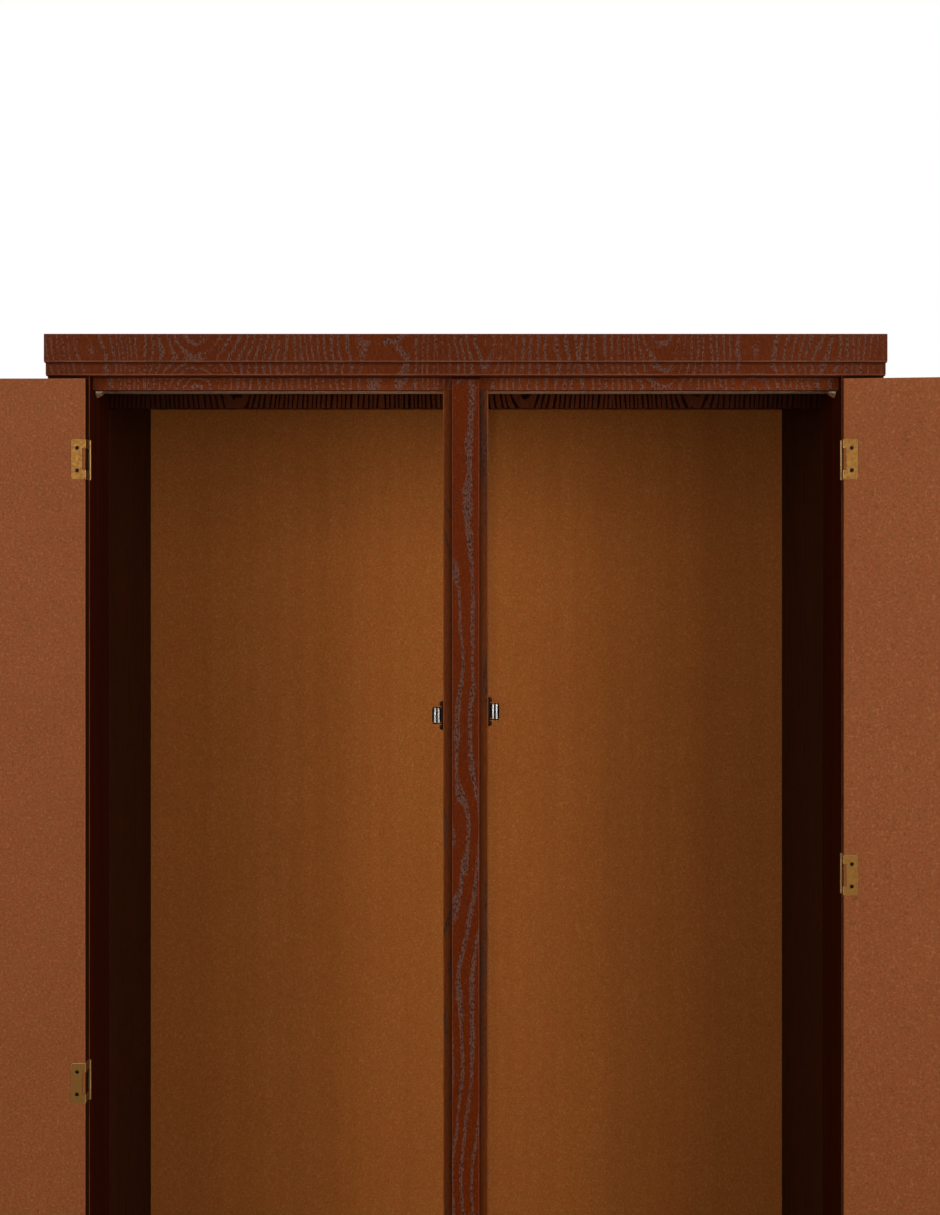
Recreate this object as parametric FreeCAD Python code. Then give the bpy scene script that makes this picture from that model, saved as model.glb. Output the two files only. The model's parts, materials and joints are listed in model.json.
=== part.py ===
import FreeCAD, Part
import math
import os

# A two-door wardrobe in oak, open, about 1.95 m high. Millimetres, +Z up, front towards -Y.
# The origin is on the floor at the centre of the carcass. "Setback" is measured back from the
# front plane, the plane of the post fronts, and anything that stands out has a negative setback.

Vector = FreeCAD.Vector

# Overall sizes
width = 1066.0
height = 1950.0
depth = 550.0
side_thickness = 54.0
board_ease = 0.8

# Cornice: an upper band planted on a lower one, both run across the whole width
cornice_height = 51.6
cornice_lower_projection = 12.0
cornice_upper_height = 36.0
cornice_upper_projection = 24.0
cornice_arris_radius = 4.0
cornice_top_radius = 1.5

# Double top: top board, battens and ceiling panel
top_board_thickness = 18.0
top_box_height = 44.0
ceiling_thickness = 8.0
batten_width = 30.0

# Front frame: rails and post stand back behind the closed doors, the strip comes forward
frame_thickness = 18.0
top_rail_drop = 67.0
bottom_rail_height = 63.0
bottom_rail_top = 123.0
post_width = 58.0
strip_width = 35.0
arris_radius = 2.0

# Hollow sides: front post, inner and outer skins, rear post
post_front_depth = 40.0
post_inner_depth = 152.0
inner_skin_thickness = 22.0
outer_skin_thickness = 12.0
rear_post_depth = 60.0

# Back, floor and plinth
back_thickness = 6.0
back_recess = 14.0
back_rebate_width = 11.0
back_play = 0.5
back_bottom = 60.0
floor_thickness = 18.0
floor_top = 118.0
plinth_front_height = 108.0
plinth_back_thickness = 18.0
plinth_back_recess = 50.0
bearer_thickness = 20.0

# Doors, inset between posts and strip
door_board_thickness = 14.0
door_back_thickness = 6.0
door_stop_gap = 0.5
door_free_gap = 1.5
door_hinge_gap = 2.0
door_end_gap = 5.0
door_arris_radius = 1.5
left_open_angle = 180.0
right_open_angle = 172.0

# Hinges: brass, the door leaf wraps the door's edge and the frame leaf lies on the post's face
hinge_height = 50.8
hinge_inset = 102.0
left_hinge_count = 3
right_hinge_count = 4
leaf_thickness = 1.2
hinge_axis_offset = 0.6
barrel_radius = 2.3
pin_radius = 1.1
pin_clearance = 0.05
knuckle_gap = 0.35
knuckle_ends_share = (0.0, 0.125, 0.25, 0.75, 0.875, 1.0)
frame_knuckles = (0, 2, 4)
door_knuckles = (1, 3)
flange_width = 19.0
leaf_bend_radius = 1.7
leaf_corner_radius = 3.0
leaf_ease = 0.5
leaf_window_height = 27.7
leaf_window_reach = 4.7
leaf_screw_spacing = 28.2
leaf_screw_inset = 11.4

# Countersunk screws, with the clearance of the holes that they stand in
screw_head_radius = 2.6
screw_shank_radius = 1.3
screw_length = 12.0
screw_clearance = 0.05

# Double-roller catches on the post's sides, and the strikes that enter them
upper_left_catch_height = 1465.0
upper_right_catch_height = 1470.0
lower_catch_height = 538.0
catch_length = 37.4
catch_depth = 11.0
catch_base_thickness = 2.0
catch_corner_radius = 3.0
cage_height = 21.7
cage_plate_thickness = 1.2
cage_reach = 13.5
cage_depth = 8.0
cage_corner_radius = 1.0
roller_radius = 1.9
roller_pin_radius = 0.8
roller_end_gap = 0.3
roller_pitch = 4.8
roller_travel = 1.3
near_roller_reach = 5.75
catch_screw_spacing = 30.2
dome_radius = 3.2
dome_height = 2.8
strike_plate_width = 9.0
strike_plate_height = 30.0
strike_plate_thickness = 1.0
strike_corner_radius = 2.0
strike_blade_height = 12.0
strike_neck_thickness = 0.8
strike_neck_length = 12.0
strike_head_thickness = 2.8
strike_head_length = 5.3
strike_shoulder_share = 0.35
nose_swell_share = 0.78
strike_screw_spacing = 20.0
strike_screw_head_radius = 2.2

# Clothes rod: a tube, held in a cone-shaped socket on each side
rod_radius = 9.0
rod_wall = 1.0
rod_above_rail_bottom = 7.5
rod_end_gap = 0.5
socket_radius = 14.5
socket_rim = 1.2
socket_length = 8.0
socket_mouth_radius = 10.4
socket_floor = 2.6
socket_clearance = 0.2
socket_rail_gap = 1.0
socket_screw_head_radius = 4.0
socket_screw_head_height = 2.0

# Knobs: turned wood, one on each door's front
knob_height = 1000.0
knob_edge_distance = 30.0
knob_neck_radius = 6.5
knob_waist_height = 6.0
knob_hollow_radius = 7.0
knob_head_radius = 14.0
knob_rim_height = 2.0
knob_crown_rise = 7.0
knob_projection = 24.0
knob_screw_radius = 2.0
knob_screw_head_radius = 4.0
knob_screw_head_height = 1.6
knob_screw_bite = 12.0

# Overrun of the cutting shapes, and how near an edge has to lie to be picked
overrun = 5.0
pick_tolerance = 0.02

# Places worked out from the sizes above
front_y = -depth / 2
half_width = width / 2
opening_half = half_width - side_thickness
post_half = post_width / 2
strip_half = strip_width / 2
board_underside = height - top_board_thickness
ceiling_underside = height - top_box_height
cornice_bottom = height - cornice_height
rail_bottom = height - top_rail_drop
back_setback = depth - back_recess
plinth_back_setback = depth - plinth_back_recess
door_thickness = door_board_thickness + door_back_thickness
frame_setback = door_thickness + door_stop_gap
frame_back = frame_setback + frame_thickness
door_top = cornice_bottom - door_end_gap
door_bottom = plinth_front_height + door_end_gap
door_free_x = strip_half + door_free_gap
door_hinge_x = opening_half - door_hinge_gap
hinge_x = door_hinge_x + leaf_thickness + hinge_axis_offset
hinge_y = front_y - barrel_radius
catch_y = front_y + frame_setback + frame_thickness / 2
strike_x = post_half + near_roller_reach + roller_pitch / 2
rod_y = front_y + frame_back + socket_rail_gap + socket_radius
rod_z = rail_bottom + rod_above_rail_bottom
skin_x = opening_half + inner_skin_thickness

nodes = {}


def board(x0, x1, setback0, setback1, z0, z1):
    """A plain board between two setbacks from the front plane."""
    return Part.makeBox(x1 - x0, setback1 - setback0, z1 - z0, Vector(x0, front_y + setback0, z0))


def eased(shape):
    """A board with the sharp arris planed off every edge."""
    return shape.makeChamfer(board_ease, shape.Edges)


def block(x0, x1, y0, y1, z0, z1):
    """A plain block in a fitting's own coordinates."""
    return Part.makeBox(x1 - x0, y1 - y0, z1 - z0, Vector(x0, y0, z0))


def edges_at(shape, x=None, y=None, z=None):
    """The edges that lie wholly at the given coordinates."""
    found = []
    for edge in shape.Edges:
        box = edge.BoundBox
        spans = ((x, box.XMin, box.XMax), (y, box.YMin, box.YMax), (z, box.ZMin, box.ZMax))
        if all(at is None or max(abs(low - at), abs(high - at)) < pick_tolerance for at, low, high in spans):
            found.append(edge)
    return found


def mirrored(shape):
    """The left-hand copy of a right-hand piece."""
    return shape.mirror(Vector(0, 0, 0), Vector(1, 0, 0))


def moved(shape, x, y, z):
    """A copy of a fitting at its place."""
    copy = shape.copy()
    copy.translate(Vector(x, y, z))
    return copy


def facing(shape, direction):
    """A copy of a shape made along +Z, turned to face a direction."""
    copy = shape.copy()
    turn = FreeCAD.Rotation(Vector(0, 0, 1), direction)
    copy.rotate(Vector(0, 0, 0), turn.Axis, math.degrees(turn.Angle))
    return copy


def turned(points):
    """A solid turned round Z from half-profile points (radius, z)."""
    outline = Part.makePolygon([Vector(r, 0, z) for r, z in points + points[:1]])
    return Part.Face(outline).revolve(Vector(0, 0, 0), Vector(0, 0, 1), 360)


def countersunk(head_radius, head_height, grow=0.0):
    """A countersunk screw pointing down, its head's flat top at the origin. A hole is one grown."""
    shank = screw_shank_radius + grow
    return turned([
        (0, grow), (head_radius + 2 * grow, grow), (shank, -head_height - grow),
        (shank, -screw_length - grow), (0, -screw_length - grow),
    ])


def add_pair(name, right_shape):
    """Store a right-hand piece and its mirror copy."""
    nodes["right_" + name] = right_shape
    nodes["left_" + name] = mirrored(right_shape)


def make_top():
    """Top board, ceiling panel and the battens that join them."""
    nodes["top_board"] = eased(board(
        -half_width, half_width, frame_setback, depth, board_underside, height))
    ceiling_top = ceiling_underside + ceiling_thickness
    nodes["ceiling_panel"] = eased(board(
        -opening_half, opening_half, frame_back, back_setback, ceiling_underside, ceiling_top))
    front_end = frame_back + batten_width
    rear_start = back_setback - batten_width
    nodes["front_top_batten"] = board(
        -opening_half, opening_half, frame_back, front_end, ceiling_top, board_underside)
    nodes["rear_top_batten"] = board(
        -opening_half, opening_half, rear_start, back_setback, ceiling_top, board_underside)
    nodes["centre_top_batten"] = board(
        -batten_width / 2, batten_width / 2, front_end, rear_start, ceiling_top, board_underside)


def make_cornice():
    """The two moulded boards across the front of the top."""
    lower = board(-half_width, half_width, -cornice_lower_projection, frame_setback, cornice_bottom, height)
    lower_front = front_y - cornice_lower_projection
    nodes["cornice_lower_board"] = lower.makeFillet(
        cornice_arris_radius, edges_at(lower, y=lower_front, z=cornice_bottom))
    upper_bottom = height - cornice_upper_height
    upper = board(-half_width, half_width, -cornice_upper_projection, -cornice_lower_projection,
                  upper_bottom, height)
    upper_front = front_y - cornice_upper_projection
    upper = upper.makeFillet(cornice_arris_radius, edges_at(upper, y=upper_front, z=upper_bottom))
    nodes["cornice_upper_board"] = upper.makeFillet(
        cornice_top_radius, edges_at(upper, y=upper_front, z=height))


def make_front_frame():
    """Rails, centre post and the strip that fills the gap between the closed doors."""
    nodes["top_rail"] = eased(board(
        -opening_half, opening_half, frame_setback, frame_back, rail_bottom, board_underside))
    nodes["bottom_rail"] = eased(board(
        -opening_half, opening_half, frame_setback, frame_back,
        bottom_rail_top - bottom_rail_height, bottom_rail_top))
    post = board(-post_half, post_half, frame_setback, frame_back, bottom_rail_top, rail_bottom)
    post_front = front_y + frame_setback
    corners = edges_at(post, x=-post_half, y=post_front) + edges_at(post, x=post_half, y=post_front)
    nodes["centre_post"] = post.makeFillet(arris_radius, corners)
    strip = board(-strip_half, strip_half, 0, frame_setback, plinth_front_height, cornice_bottom)
    corners = edges_at(strip, x=-strip_half, y=front_y) + edges_at(strip, x=strip_half, y=front_y)
    nodes["post_strip"] = strip.makeFillet(arris_radius, corners)


def front_post():
    """The right front post: L-shaped in plan, its head notched under the cornice."""
    outline = [
        (opening_half, 0), (half_width, 0), (half_width, post_front_depth), (skin_x, post_front_depth),
        (skin_x, post_inner_depth), (opening_half, post_inner_depth),
    ]
    wire = Part.makePolygon([Vector(x, front_y + setback, 0) for x, setback in outline + outline[:1]])
    post = Part.Face(wire).extrude(Vector(0, 0, board_underside))
    corners = edges_at(post, x=opening_half, y=front_y) + edges_at(post, x=half_width, y=front_y)
    post = post.makeFillet(arris_radius, corners)
    post = post.makeChamfer(board_ease, edges_at(post, x=opening_half, y=front_y + post_inner_depth))
    notch = board(opening_half - overrun, half_width + overrun, -overrun, frame_setback,
                  cornice_bottom, board_underside + overrun)
    return post.cut(notch)


def make_sides():
    """Both hollow sides. The front posts are stored later, when their screw holes are cut."""
    inner = eased(board(opening_half, skin_x, post_inner_depth, depth, 0, board_underside))
    rebate = board(opening_half - overrun, opening_half + back_rebate_width, back_setback,
                   depth + overrun, -overrun, board_underside + overrun)
    add_pair("inner_side", inner.cut(rebate))
    outer_x = half_width - outer_skin_thickness
    outer = eased(board(outer_x, half_width, post_front_depth, depth, 0, board_underside))
    add_pair("outer_side", outer)
    add_pair("rear_post", board(skin_x, outer_x, depth - rear_post_depth, depth, 0, board_underside))


def make_back_floor_and_plinth():
    """The back in its rebates, the floor board, and the plinth that everything stands on."""
    back_half = opening_half + back_rebate_width - back_play
    nodes["back_panel"] = board(
        -back_half, back_half, back_setback, back_setback + back_thickness, back_bottom, board_underside)
    floor_bottom = floor_top - floor_thickness
    nodes["floor_board"] = eased(board(
        -opening_half, opening_half, frame_back, back_setback, floor_bottom, floor_top))
    nodes["plinth_front"] = eased(board(
        -opening_half, opening_half, 0, frame_setback, 0, plinth_front_height))
    plinth_back_end = plinth_back_setback + plinth_back_thickness
    nodes["plinth_back"] = board(
        -opening_half, opening_half, plinth_back_setback, plinth_back_end, 0, floor_bottom)
    nodes["plinth_bearer"] = board(
        -bearer_thickness / 2, bearer_thickness / 2, frame_back, plinth_back_setback, 0, floor_bottom)


def knuckle(index, radius, gap=0.0):
    """One stretch of the hinge barrel, counted from the bottom, about the hinge's middle."""
    low = knuckle_ends_share[index] * hinge_height - hinge_height / 2 + gap
    high = knuckle_ends_share[index + 1] * hinge_height - hinge_height / 2 - gap
    return Part.makeCylinder(radius, high - low, Vector(0, 0, low))


def barrel_work(leaf, own, other):
    """Clear a leaf round the other leaf's knuckles, add its own, and bore them for the pin."""
    for index in other:
        leaf = leaf.cut(knuckle(index, barrel_radius + knuckle_gap, -knuckle_gap / 2))
    for index in own:
        leaf = leaf.fuse(knuckle(index, barrel_radius, knuckle_gap / 2))
    bore = Part.makeCylinder(pin_radius + pin_clearance, hinge_height + 2 * overrun,
                             Vector(0, 0, -hinge_height / 2 - overrun))
    return leaf.removeSplitter().cut(bore)


def leaf_screw_points(x):
    """Where a leaf's two screws stand."""
    return [(x, -leaf_screw_spacing / 2), (x, leaf_screw_spacing / 2)]


def frame_leaf():
    """The leaf on the post's face, with the hinge axis on Z and the post's face behind it."""
    half = hinge_height / 2
    wing = block(0, flange_width, barrel_radius - leaf_thickness, barrel_radius, -half, half)
    corners = edges_at(wing, x=flange_width, z=half) + edges_at(wing, x=flange_width, z=-half)
    wing = wing.makeFillet(leaf_corner_radius, corners)
    wing = wing.makeChamfer(leaf_ease, edges_at(wing, x=flange_width, y=barrel_radius - leaf_thickness))
    return barrel_work(wing, frame_knuckles, door_knuckles)


def door_leaf():
    """The leaf that wraps the closed door's edge: two arms and a flange on the door's back."""
    half = hinge_height / 2
    inner_x = door_hinge_x - hinge_x
    outer_x = inner_x + leaf_thickness
    back_y = barrel_radius + door_thickness
    far_y = back_y + leaf_thickness
    leaf = block(inner_x, outer_x, 0, far_y, -half, half)
    leaf = leaf.fuse(block(outer_x - flange_width, outer_x, back_y, far_y, -half, half)).removeSplitter()
    leaf = leaf.makeFillet(leaf_bend_radius, edges_at(leaf, x=outer_x, y=far_y))
    flange_end = outer_x - flange_width
    corners = edges_at(leaf, x=flange_end, z=half) + edges_at(leaf, x=flange_end, z=-half)
    leaf = leaf.makeFillet(leaf_corner_radius, corners)
    leaf = leaf.makeChamfer(leaf_ease, edges_at(leaf, x=flange_end, y=far_y))
    window_half = leaf_window_height / 2
    window = block(outer_x - leaf_window_reach, outer_x + overrun, -overrun, far_y + overrun,
                   -window_half, window_half)
    leaf = leaf.cut(window)
    return barrel_work(leaf, door_knuckles, frame_knuckles)


def hinge_heights(count):
    """Centres of a door's hinges, evenly spaced between the end ones."""
    low = door_bottom + hinge_inset
    pitch = (door_top - hinge_inset - low) / (count - 1)
    return [low + index * pitch for index in range(count)]


def screws_at(points, height_z, shape, y):
    """Copies of one screw at points (x, z) round a height."""
    return [moved(shape, x, y, height_z + z) for x, z in points]


def make_side_hardware(side, count, finish):
    """Front post, frame leaves and pins of one side, made right-handed and finished for the side."""
    screw = facing(countersunk(screw_head_radius, leaf_thickness), Vector(0, -1, 0))
    tool = facing(countersunk(screw_head_radius, leaf_thickness, screw_clearance), Vector(0, -1, 0))
    face_y = front_y - leaf_thickness
    post = front_post()
    leaves, pins, screws = [], [], []
    for z in hinge_heights(count):
        points = leaf_screw_points(hinge_x + leaf_screw_inset)
        holes = screws_at(points, z, tool, face_y)
        screws += screws_at(points, z, screw, face_y)
        leaves.append(moved(frame_leaf(), hinge_x, hinge_y, z).cut(holes))
        pin_foot = Vector(hinge_x, hinge_y, z - hinge_height / 2)
        pins.append(Part.makeCylinder(pin_radius, hinge_height, pin_foot))
        post = post.cut(holes)
    nodes[side + "_front_post"] = finish(post)
    nodes[side + "_hinge_frame_leaves"] = finish(Part.makeCompound(leaves))
    nodes[side + "_hinge_pins"] = finish(Part.makeCompound(pins))
    return [finish(shape) for shape in screws]


def crown(rim_radius, rim_z, rise):
    """The edge of a dome over a rim: an arc centred on Z, so that it turns into part of a ball."""
    ball = (rim_radius ** 2 + rise ** 2) / (2 * rise)
    half_angle = math.asin(rim_radius / ball) / 2
    middle = Vector(ball * math.sin(half_angle), 0, rim_z + rise - ball * (1 - math.cos(half_angle)))
    return Part.Arc(Vector(rim_radius, 0, rim_z), middle, Vector(0, 0, rim_z + rise)).toShape()


def knob():
    """A turned knob pointing up, its foot on the origin, drilled for its screw."""
    hollow_centre = knob_neck_radius + knob_hollow_radius
    foot_radius = hollow_centre - math.sqrt(knob_hollow_radius ** 2 - knob_waist_height ** 2)
    foot = Vector(foot_radius, 0, 0)
    neck = Vector(knob_neck_radius, 0, knob_waist_height)
    collar = Vector(foot_radius, 0, 2 * knob_waist_height)
    crown_z = knob_projection - knob_crown_rise
    shoulder = Vector(knob_head_radius, 0, crown_z - knob_rim_height)
    hollow = Part.Arc(foot, neck, collar).toShape()
    rim = Part.makePolygon([collar, shoulder, Vector(knob_head_radius, 0, crown_z)])
    dome = crown(knob_head_radius, crown_z, knob_crown_rise)
    axis = Part.makePolygon([Vector(0, 0, knob_projection), Vector(0, 0, 0), foot])
    outline = Part.Wire([hollow] + rim.Edges + [dome] + axis.Edges)
    solid = Part.Face(outline).revolve(Vector(0, 0, 0), Vector(0, 0, 1), 360)
    hole = Part.makeCylinder(knob_screw_radius + screw_clearance, knob_screw_bite + screw_clearance)
    return solid.cut(hole)


def knob_screw(grow=0.0):
    """The knob's machine screw pointing up, its head under the origin. A hole is its shank grown."""
    shank = Part.makeCylinder(knob_screw_radius + grow, door_thickness + knob_screw_bite + grow)
    if grow:
        return shank
    head_foot = Vector(0, 0, -knob_screw_head_height)
    return shank.fuse(Part.makeCylinder(knob_screw_head_radius, knob_screw_head_height, head_foot))


def strike():
    """A spear-shaped strike on the door's back, pointing +Y, its plate's back on the XZ plane."""
    half_w = strike_plate_width / 2
    half_h = strike_plate_height / 2
    plate = block(-half_w, half_w, 0, strike_plate_thickness, -half_h, half_h)
    corners = []
    for x in (-half_w, half_w):
        corners += edges_at(plate, x=x, z=half_h) + edges_at(plate, x=x, z=-half_h)
    plate = plate.makeFillet(strike_corner_radius, corners)
    neck = strike_neck_thickness / 2
    head = strike_head_thickness / 2
    wide_y = strike_neck_length + strike_head_length * strike_shoulder_share
    tip_y = strike_neck_length + strike_head_length
    bottom = -strike_blade_height / 2
    edges = [Part.LineSegment(Vector(-neck, 0, bottom), Vector(neck, 0, bottom))]
    for sign in (1, -1):
        foot = Vector(sign * neck, 0, bottom)
        collar = Vector(sign * neck, strike_neck_length, bottom)
        widest = Vector(sign * head, wide_y, bottom)
        swell = Vector(sign * head * nose_swell_share, (wide_y + tip_y) / 2, bottom)
        edges += [Part.LineSegment(foot, collar), Part.LineSegment(collar, widest),
                  Part.Arc(widest, swell, Vector(0, tip_y, bottom))]
    outline = Part.Wire(Part.__sortEdges__([curve.toShape() for curve in edges]))
    blade = Part.Face(outline).extrude(Vector(0, 0, strike_blade_height))
    return plate.fuse(blade).removeSplitter()


def swung(shape, angle):
    """A closed right-hand door piece, opened about the hinge axis."""
    copy = shape.copy()
    copy.rotate(Vector(hinge_x, hinge_y, 0), Vector(0, 0, 1), angle)
    return copy


def make_door(side, count, angle, catch_heights, finish):
    """One door with its fittings, made right-handed and closed, then opened and finished."""
    face = front_y
    mid_y = front_y + door_board_thickness
    back_y = front_y + door_thickness
    front = board(door_free_x, door_hinge_x, 0, door_board_thickness, door_bottom, door_top)
    rim = edges_at(front, x=door_free_x, y=face) + edges_at(front, x=door_hinge_x, y=face)
    rim += edges_at(front, y=face, z=door_bottom) + edges_at(front, y=face, z=door_top)
    front = front.makeFillet(door_arris_radius, rim)
    back = board(door_free_x, door_hinge_x, door_board_thickness, door_thickness, door_bottom, door_top)
    back = back.makeChamfer(board_ease, edges_at(back, y=back_y))

    screw = facing(countersunk(screw_head_radius, leaf_thickness), Vector(0, 1, 0))
    tool = facing(countersunk(screw_head_radius, leaf_thickness, screw_clearance), Vector(0, 1, 0))
    leaf_x = door_hinge_x + leaf_thickness - leaf_screw_inset
    leaves, screws, holes = [], [], []
    for z in hinge_heights(count):
        points = leaf_screw_points(leaf_x)
        leaf_holes = screws_at(points, z, tool, back_y + leaf_thickness)
        screws += screws_at(points, z, screw, back_y + leaf_thickness)
        leaves.append(moved(door_leaf(), hinge_x, hinge_y, z).cut(leaf_holes))
        holes += leaf_holes

    strike_sizes = (strike_screw_head_radius, strike_plate_thickness)
    screw = facing(countersunk(*strike_sizes), Vector(0, 1, 0))
    tool = facing(countersunk(*strike_sizes, screw_clearance), Vector(0, 1, 0))
    points = [(strike_x, -strike_screw_spacing / 2), (strike_x, strike_screw_spacing / 2)]
    strikes = []
    for z in catch_heights:
        strike_holes = screws_at(points, z, tool, back_y + strike_plate_thickness)
        screws += screws_at(points, z, screw, back_y + strike_plate_thickness)
        strikes.append(moved(strike(), strike_x, back_y, z).cut(strike_holes))
        holes += strike_holes

    knob_x = door_free_x + knob_edge_distance
    screws.append(moved(facing(knob_screw(), Vector(0, -1, 0)), knob_x, back_y, knob_height))
    holes.append(moved(facing(knob_screw(screw_clearance), Vector(0, -1, 0)), knob_x, back_y, knob_height))

    pieces = {
        "door_board": front.cut(holes),
        "door_back": back.cut(holes),
        "hinge_door_leaves": Part.makeCompound(leaves),
        "catch_strikes": Part.makeCompound(strikes),
        "door_screws": Part.makeCompound(screws),
        "knob": moved(facing(knob(), Vector(0, -1, 0)), knob_x, face, knob_height),
    }
    for name, shape in pieces.items():
        nodes[side + "_" + name] = finish(swung(shape, angle))


def cage_slot(low_x, high_x, z):
    """A slot with round ends through one plate of a catch's cage."""
    radius = roller_pin_radius + pin_clearance
    bottom = z - cage_plate_thickness
    tall = 2 * cage_plate_thickness
    middle = Part.makeBox(high_x - low_x, 2 * radius, tall, Vector(low_x, -radius, bottom))
    ends = [Part.makeCylinder(radius, tall, Vector(x, 0, bottom)) for x in (low_x, high_x)]
    return middle.fuse(ends)


def catch_body():
    """A catch right of the post's side: a base strap and a cage of two slotted plates."""
    half = catch_length / 2
    deep = catch_depth / 2
    base = block(0, catch_base_thickness, -deep, deep, -half, half)
    corners = []
    for y in (-deep, deep):
        corners += edges_at(base, y=y, z=half) + edges_at(base, y=y, z=-half)
    body = base.makeFillet(catch_corner_radius, corners)
    far_reach = near_roller_reach + roller_pitch
    for sign in (-1, 1):
        middle = sign * (cage_height - cage_plate_thickness) / 2
        plate = block(0, cage_reach, -cage_depth / 2, cage_depth / 2,
                      middle - cage_plate_thickness / 2, middle + cage_plate_thickness / 2)
        outer = edges_at(plate, x=cage_reach, y=-cage_depth / 2)
        outer += edges_at(plate, x=cage_reach, y=cage_depth / 2)
        plate = plate.makeFillet(cage_corner_radius, outer)
        plate = plate.cut(cage_slot(near_roller_reach - roller_travel, near_roller_reach, middle))
        plate = plate.cut(cage_slot(far_reach, far_reach + roller_travel, middle))
        body = body.fuse(plate)
    return body.removeSplitter()


def catch_screw(grow=0.0):
    """A round-headed screw pointing -Z, its head standing on the origin."""
    shank = screw_shank_radius + grow
    line = Part.makePolygon([
        Vector(0, 0, dome_height), Vector(0, 0, -screw_length - grow), Vector(shank, 0, -screw_length - grow),
        Vector(shank, 0, 0), Vector(dome_radius, 0, 0),
    ])
    outline = Part.Wire([crown(dome_radius, 0, dome_height)] + line.Edges)
    return Part.Face(outline).revolve(Vector(0, 0, 0), Vector(0, 0, 1), 360)


def roller():
    """A catch roller with its two pins, on Z."""
    half = (cage_height - 2 * cage_plate_thickness) / 2 - roller_end_gap
    barrel = Part.makeCylinder(roller_radius, 2 * half, Vector(0, 0, -half))
    reach = cage_height / 2 + roller_end_gap
    return barrel.fuse(Part.makeCylinder(roller_pin_radius, 2 * reach, Vector(0, 0, -reach))).removeSplitter()


def make_catches(side, heights, finish):
    """The two catches on one side of the post. Their screw holes are cut in the post."""
    tool = facing(catch_screw(screw_clearance), Vector(1, 0, 0))
    screw = facing(catch_screw(), Vector(1, 0, 0))
    head_x = post_half + catch_base_thickness
    screws = []
    for level, z in zip(("lower", "upper"), heights):
        body = moved(catch_body(), post_half, catch_y, z)
        for offset in (-catch_screw_spacing / 2, catch_screw_spacing / 2):
            hole = moved(tool, head_x, catch_y, z + offset)
            body = body.cut(hole)
            nodes["centre_post"] = nodes["centre_post"].cut(finish(hole))
            screws.append(finish(moved(screw, head_x, catch_y, z + offset)))
        nodes["%s_%s_catch" % (side, level)] = finish(body)
        for place, reach in (("near", near_roller_reach), ("far", near_roller_reach + roller_pitch)):
            shape = moved(roller(), post_half + reach, catch_y, z)
            nodes["%s_%s_%s_roller" % (side, level, place)] = finish(shape)
    return screws


def make_rod():
    """The clothes rod, its sockets, and a screw in the floor of each socket."""
    socket = turned([
        (0, 0), (socket_radius, 0), (socket_radius, socket_rim), (socket_mouth_radius, socket_length),
        (rod_radius + socket_clearance, socket_length), (rod_radius + socket_clearance, socket_floor),
        (0, socket_floor),
    ])
    grown = countersunk(socket_screw_head_radius, socket_screw_head_height, screw_clearance)
    hole = moved(grown, 0, 0, socket_floor)
    screw = moved(countersunk(socket_screw_head_radius, socket_screw_head_height), 0, 0, socket_floor)
    place = (opening_half, rod_y, rod_z)
    add_pair("rod_socket", moved(facing(socket.cut(hole), Vector(-1, 0, 0)), *place))
    right_screw = moved(facing(screw, Vector(-1, 0, 0)), *place)
    nodes["rod_socket_screws"] = Part.makeCompound([right_screw, mirrored(right_screw)])
    right_hole = moved(facing(hole, Vector(-1, 0, 0)), *place)
    for side, shape in (("right", right_hole), ("left", mirrored(right_hole))):
        nodes[side + "_front_post"] = nodes[side + "_front_post"].cut(shape)
    half = opening_half - socket_floor - rod_end_gap
    centre = Vector(-half, rod_y, rod_z)
    along = Vector(1, 0, 0)
    tube = Part.makeCylinder(rod_radius, 2 * half, centre, along)
    nodes["clothes_rod"] = tube.cut(Part.makeCylinder(rod_radius - rod_wall, 2 * half, centre, along))


def as_made(shape):
    """The right side needs no change."""
    return shape


make_top()
make_cornice()
make_front_frame()
make_sides()
make_back_floor_and_plinth()
left_catch_heights = (lower_catch_height, upper_left_catch_height)
right_catch_heights = (lower_catch_height, upper_right_catch_height)
frame_screws = make_side_hardware("left", left_hinge_count, mirrored)
frame_screws += make_side_hardware("right", right_hinge_count, as_made)
nodes["frame_leaf_screws"] = Part.makeCompound(frame_screws)
catch_screws = make_catches("left", left_catch_heights, mirrored)
catch_screws += make_catches("right", right_catch_heights, as_made)
nodes["catch_screws"] = Part.makeCompound(catch_screws)
make_rod()
make_door("left", left_hinge_count, left_open_angle, left_catch_heights, mirrored)
make_door("right", right_hinge_count, right_open_angle, right_catch_heights, as_made)

os.makedirs("parts", exist_ok=True)
for node, solid in nodes.items():
    solid.exportStep("parts/%s.step" % node)
print("nodes", len(nodes), "invalid", [node for node, solid in nodes.items() if not solid.isValid()])
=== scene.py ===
import json
import math

import bmesh
import bpy
from mathutils import Matrix, Vector


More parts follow.
